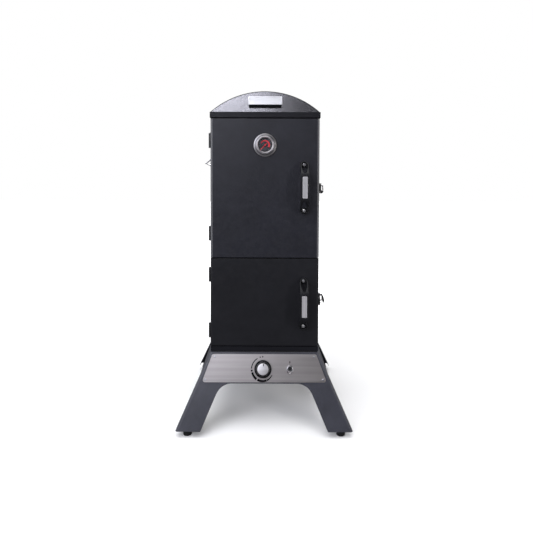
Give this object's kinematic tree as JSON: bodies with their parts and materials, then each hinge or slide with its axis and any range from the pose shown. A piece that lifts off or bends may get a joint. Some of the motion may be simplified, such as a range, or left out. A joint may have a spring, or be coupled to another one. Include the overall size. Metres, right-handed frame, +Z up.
{
  "type": "vertical water smoker",
  "caption": "Tall gas-fired water smoker: two-door cabinet with arched roof, water bowl, grids and burner on a splayed sheet-metal base.",
  "frame": {"origin": "middle of the footprint on the ground", "axes": "+Z up; the doors face -Y; +X is to the right of someone facing the doors"},
  "size_m": [0.618, 0.574, 1.218],
  "materials": {
    "door_paint": "fine-textured satin black powder coat",
    "cabinet_paint": "fine-textured satin dark grey powder coat",
    "leg_paint": "satin charcoal powder coat",
    "arch_finish": "fine metallic grey",
    "stainless": "brushed stainless steel",
    "plated_wire": "nickel-plated steel",
    "galvanised": "plain aluminised sheet",
    "burner_steel": "stainless tube, heat tinted",
    "cast_iron": "seasoned matt",
    "brass": "machined",
    "chrome": "polished chrome plate",
    "dark_screw": "zinc plated",
    "black_resin": "glossy black resin",
    "black_hardware": "satin black",
    "foot_rubber": "moulded matt black",
    "gasket_felt": "dense heat-resistant felt",
    "ceramic": "glazed ceramic with steel electrode",
    "dial_face": "printed dark dial",
    "needle_red": "red enamel",
    "lens_glass": "clear glass"
  },
  "bodies": {
    "cabinet": {"side_panel_left": "cabinet_paint", "side_panel_right": "cabinet_paint", "back_panel": "cabinet_paint", "floor_pan": "cabinet_paint", "front_rails": "cabinet_paint", "top_cap": "cabinet_paint", "arch_plates": "arch_finish", "roof_sheet": "cabinet_paint", "badge": "stainless", "shelf_rails": "plated_wire", "cooking_grid_1": "plated_wire", "cooking_grid_2": "plated_wire", "cooking_grid_3": "plated_wire", "cooking_grid_4": "plated_wire", "smoker_box": "cast_iron", "box_shelf": "galvanised", "burner": "burner_steel", "electrode": "ceramic", "valve_body": "brass", "gas_tube": "burner_steel", "gas_inlet": "brass", "front_leg_panel": "leg_paint", "rear_leg_panel": "leg_paint", "base_side_panels": "leg_paint", "feet": "foot_rubber", "control_panel": "stainless", "panel_screws": "dark_screw", "igniter_body": "chrome", "door_gaskets": "gasket_felt", "cabinet_hinges": "black_hardware", "latch_bases": "black_hardware", "damper_pivot": "chrome"},
    "upper_door": {"upper_door": "door_paint", "upper_door_liner": "galvanised", "upper_handle": "black_resin", "upper_handle_insert": "stainless", "upper_handle_screws": "chrome", "thermometer_case": "chrome", "thermometer_dial": "dial_face", "thermometer_lens": "lens_glass", "upper_door_hinges": "black_hardware", "upper_latch_keeper": "black_hardware"},
    "lower_door": {"lower_door": "door_paint", "lower_door_liner": "galvanised", "lower_handle": "black_resin", "lower_handle_insert": "stainless", "lower_handle_screws": "chrome", "lower_door_hinges": "black_hardware", "lower_latch_keeper": "black_hardware"},
    "thermometer_needle": {"thermometer_needle": "needle_red"},
    "gas_valve_stem": {"valve_stem": "brass"},
    "gas_knob": {"knob": "black_resin", "knob_insert": "stainless"},
    "igniter_button": {"igniter_button": "black_resin"},
    "exhaust_damper": {"damper_disc": "stainless"},
    "upper_latch": {"upper_latch_lever": "black_hardware"},
    "lower_latch": {"lower_latch_lever": "black_hardware"},
    "drip_tray": {"drip_tray": "galvanised"},
    "smoker_box_lid": {"smoker_box_lid": "cast_iron"},
    "water_bowl": {"water_bowl": "stainless"}
  },
  "joints": [
    {"name": "upper_door_hinge", "type": "hinge", "parent": "cabinet", "child": "upper_door", "pos_m": [-0.204, -0.163, 0.8715], "axis": [0, 0, -1], "range_deg": [0, 135]},
    {"name": "lower_door_hinge", "type": "hinge", "parent": "cabinet", "child": "lower_door", "pos_m": [-0.204, -0.163, 0.4415], "axis": [0, 0, -1], "range_deg": [0, 135]},
    {"name": "thermometer_needle_turn", "type": "hinge", "parent": "upper_door", "child": "thermometer_needle", "pos_m": [0, -0.1945, 1.024], "axis": [0, 1, 0], "range_deg": [0, 250]},
    {"name": "gas_valve_turn", "type": "hinge", "parent": "cabinet", "child": "gas_valve_stem", "pos_m": [-0.005, -0.21158, 0.21016], "axis": [0, -0.9282, 0.3721], "range_deg": [0, 225]},
    {"name": "gas_knob_push", "type": "slide", "parent": "gas_valve_stem", "child": "gas_knob", "axis": [0, 0.9282, -0.3721], "range_m": [0, 0.003], "stiffness_N_per_m": 500},
    {"name": "igniter_push", "type": "slide", "parent": "cabinet", "child": "igniter_button", "axis": [0, 0.9282, -0.3721], "range_m": [0, 0.004], "stiffness_N_per_m": 500},
    {"name": "exhaust_damper_turn", "type": "hinge", "parent": "cabinet", "child": "exhaust_damper", "pos_m": [-0.2013, -0.095, 0.958], "axis": [-1, 0, 0], "range_deg": [0, 45]},
    {"name": "upper_latch_swing", "type": "hinge", "parent": "cabinet", "child": "upper_latch", "pos_m": [0.208, -0.133, 0.869], "axis": [0, 0, -1], "range_deg": [0, 120]},
    {"name": "lower_latch_swing", "type": "hinge", "parent": "cabinet", "child": "lower_latch", "pos_m": [0.208, -0.133, 0.45], "axis": [0, 0, -1], "range_deg": [0, 120]},
    {"name": "drip_tray_slide", "type": "slide", "parent": "cabinet", "child": "drip_tray", "axis": [0, 1, 0], "range_m": [0, 0.26]},
    {"name": "smoker_box_lid_lift", "type": "slide", "parent": "cabinet", "child": "smoker_box_lid", "axis": [0, 0, 1], "range_m": [0, 0.06]},
    {"name": "water_bowl_lift", "type": "slide", "parent": "cabinet", "child": "water_bowl", "axis": [0, 0, 1], "range_m": [0, 0.05]}
  ]
}
